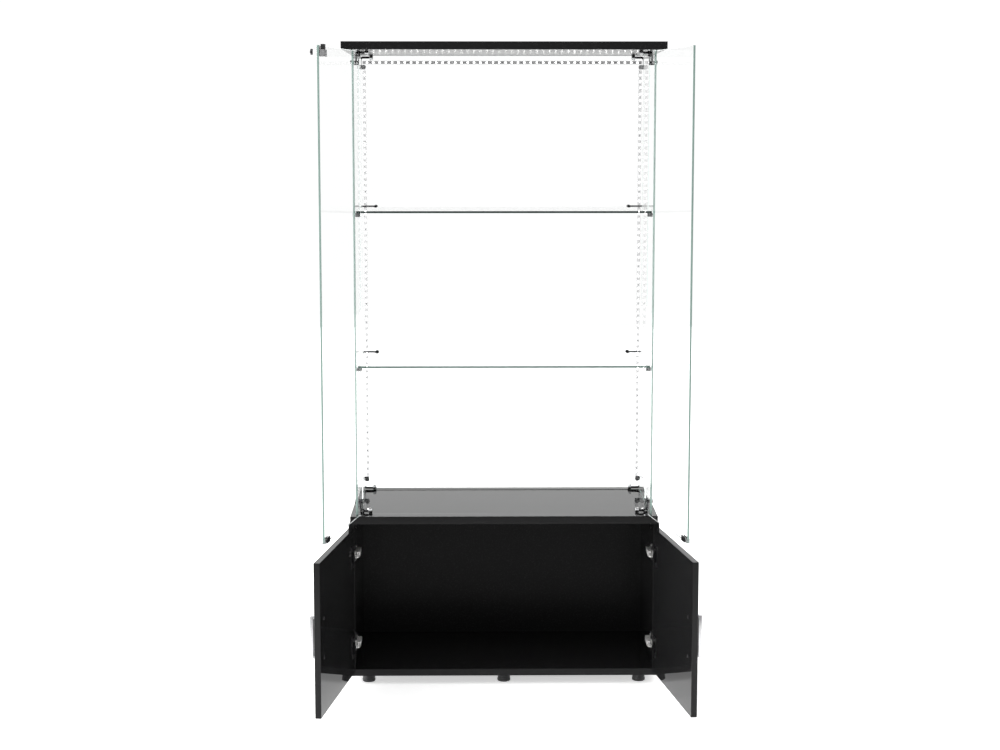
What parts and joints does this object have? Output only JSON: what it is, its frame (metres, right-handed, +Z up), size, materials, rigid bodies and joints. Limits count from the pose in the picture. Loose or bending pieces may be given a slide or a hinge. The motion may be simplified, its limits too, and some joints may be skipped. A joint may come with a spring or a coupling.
{
  "type": "china cabinet",
  "caption": "Free-standing china cabinet: a lit glass showcase with glass doors and shelves, on a black gloss cupboard with solid doors and bar handles.",
  "frame": {"origin": "on the floor, under the middle of the footprint with the doors open as at rest", "axes": "+X the cabinet's right as one faces it, +Y towards its back, +Z up"},
  "size_m": [0.9328, 0.7758, 1.635],
  "materials": {
    "black_board": "black gloss laminate",
    "back_board": "black satin laminate",
    "black_plastic": "moulded",
    "glass": "clear polished, green edges",
    "chrome": "polished plate",
    "zinc": "zinc plated",
    "strip": "white strip with light chips",
    "beech": "fluted beech",
    "magnet": "nickel plated",
    "nickel": "nickel plated",
    "black_metal": "black enamel",
    "soft_clear": "clear soft moulding",
    "lock_metal": "satin plate",
    "handle_steel": "fine brushed"
  },
  "bodies": {
    "cabinet": {"top_panel": "black_board", "cabinet_top": "black_board", "side_panel_left": "black_board", "side_panel_right": "black_board", "bottom_panel": "black_board", "back_panel": "back_board", "feet_front": "black_plastic", "feet_back": "black_plastic", "glass_side_left": "glass", "glass_side_right": "glass", "glass_back": "glass", "shelf_upper": "glass", "shelf_lower": "glass", "connectors_top_front": "chrome", "connectors_top_back": "chrome", "connectors_bottom_front": "chrome", "connectors_bottom_back": "chrome", "connector_pads": "chrome", "connector_screws": "zinc", "shelf_rods_upper": "chrome", "shelf_rods_lower": "chrome", "shelf_clips": "chrome", "pivot_bushes_top": "chrome", "pivot_bushes_bottom": "chrome", "led_strip_top": "strip", "led_strip_left": "strip", "led_strip_right": "strip", "dowels": "beech", "cam_locks": "zinc", "cam_bolts": "zinc", "catch_magnets": "magnet", "hinge_arms_left": "nickel", "hinge_arms_right": "nickel", "hinge_arm_screws": "zinc"},
    "glass_door_left": {"glass_door_left": "glass", "pivot_shoes_left": "chrome", "shoe_screws_left": "zinc", "strike_clip_left": "black_metal", "corner_guard_left": "soft_clear", "lock_body": "lock_metal"},
    "glass_door_right": {"glass_door_right": "glass", "pivot_shoes_right": "chrome", "shoe_screws_right": "zinc", "strike_clip_right": "black_metal", "corner_guard_right": "soft_clear"},
    "cupboard_door_left": {"cupboard_door_left": "black_board", "handle_left": "handle_steel", "handle_screws_left": "zinc", "hinge_cups_left": "nickel", "cup_screws_left": "zinc"},
    "hinge_links_left": {"hinge_links_left": "nickel"},
    "cupboard_door_right": {"cupboard_door_right": "black_board", "handle_right": "handle_steel", "handle_screws_right": "zinc", "hinge_cups_right": "nickel", "cup_screws_right": "zinc"},
    "hinge_links_right": {"hinge_links_right": "nickel"},
    "lock_cylinder": {"lock_cylinder": "lock_metal"},
    "lock_bolt": {"lock_bolt": "black_metal"}
  },
  "joints": [
    {"name": "glass_door_left_swing", "type": "hinge", "parent": "cabinet", "child": "glass_door_left", "pos_m": [-0.362, 0.00642, 1.03], "axis": [0, 0, 1], "range_deg": [-19, 101]},
    {"name": "cupboard_door_left_swing", "type": "hinge", "parent": "cabinet", "child": "cupboard_door_left", "pos_m": [-0.3905, -0.00178, 0.223], "axis": [0, 0, 1], "range_deg": [-12, 98]},
    {"name": "hinge_links_left_turn", "type": "hinge", "parent": "cabinet", "child": "hinge_links_left", "pos_m": [-0.375, 0.01192, 0.223], "axis": [0, 0, 1], "range_deg": [-7.2, 58.8]},
    {"name": "glass_door_right_swing", "type": "hinge", "parent": "cabinet", "child": "glass_door_right", "pos_m": [0.362, 0.00642, 1.03], "axis": [0, 0, -1], "range_deg": [-19, 101]},
    {"name": "cupboard_door_right_swing", "type": "hinge", "parent": "cabinet", "child": "cupboard_door_right", "pos_m": [0.3905, -0.00178, 0.223], "axis": [0, 0, -1], "range_deg": [-12, 98]},
    {"name": "hinge_links_right_turn", "type": "hinge", "parent": "cabinet", "child": "hinge_links_right", "pos_m": [0.375, 0.01192, 0.223], "axis": [0, 0, -1], "range_deg": [-7.2, 58.8]},
    {"name": "lock_cylinder_turn", "type": "hinge", "parent": "glass_door_left", "child": "lock_cylinder", "pos_m": [-0.42655, -0.33351, 1.596], "axis": [0.9816, -0.1908, 0], "range_deg": [0, 90]},
    {"name": "lock_bolt_slide", "type": "slide", "parent": "glass_door_left", "child": "lock_bolt", "axis": [0, 0, 1], "range_m": [0, 0.00601]}
  ],
  "couplings": [
    {"joint": "hinge_links_left_turn", "follows": "cupboard_door_left_swing", "ratio": 0.6},
    {"joint": "hinge_links_right_turn", "follows": "cupboard_door_right_swing", "ratio": 0.6},
    {"joint": "lock_cylinder_turn", "follows": "lock_bolt_slide", "rad_per_m": 261.35}
  ]
}
